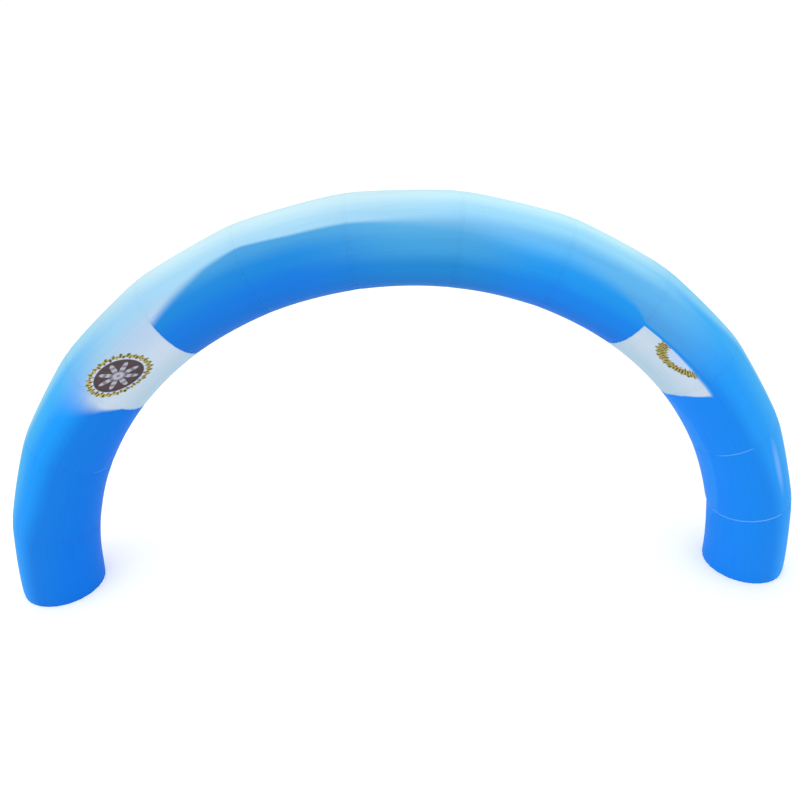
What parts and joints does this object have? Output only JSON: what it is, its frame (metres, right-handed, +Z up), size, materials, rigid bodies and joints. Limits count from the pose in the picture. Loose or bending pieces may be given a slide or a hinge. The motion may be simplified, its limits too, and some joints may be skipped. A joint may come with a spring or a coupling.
{
  "type": "inflatable arch",
  "caption": "Free-standing entrance arch for events: an air-filled tube of coated cloth, bent in a half ring of mitred sections and standing on two closed feet.",
  "frame": {"origin": "on the floor midway between the two feet, the bottom centre of the bounding box", "axes": "+X along the span, to the right foot as seen from the front; +Y from the front to the back; +Z up"},
  "size_m": [7.9804, 0.788, 3.9232],
  "materials": {
    "tube_cloth": "coated woven cloth, satin sheen, printed blue",
    "printed_cloth": "coated woven cloth, satin sheen, pale print field",
    "foot_cloth": "coated woven cloth, satin sheen, blue"
  },
  "bodies": {
    "root": {"tube_section_01": "tube_cloth", "tube_section_02": "tube_cloth", "tube_section_03": "tube_cloth", "tube_section_04": "printed_cloth", "tube_section_05": "tube_cloth", "tube_section_06": "tube_cloth", "tube_section_07": "tube_cloth", "tube_section_08": "tube_cloth", "tube_section_09": "tube_cloth", "tube_section_10": "printed_cloth", "tube_section_11": "tube_cloth", "tube_section_12": "tube_cloth", "tube_section_13": "tube_cloth", "foot_panel_left": "foot_cloth", "foot_panel_right": "foot_cloth"}
  },
  "joints": []
}
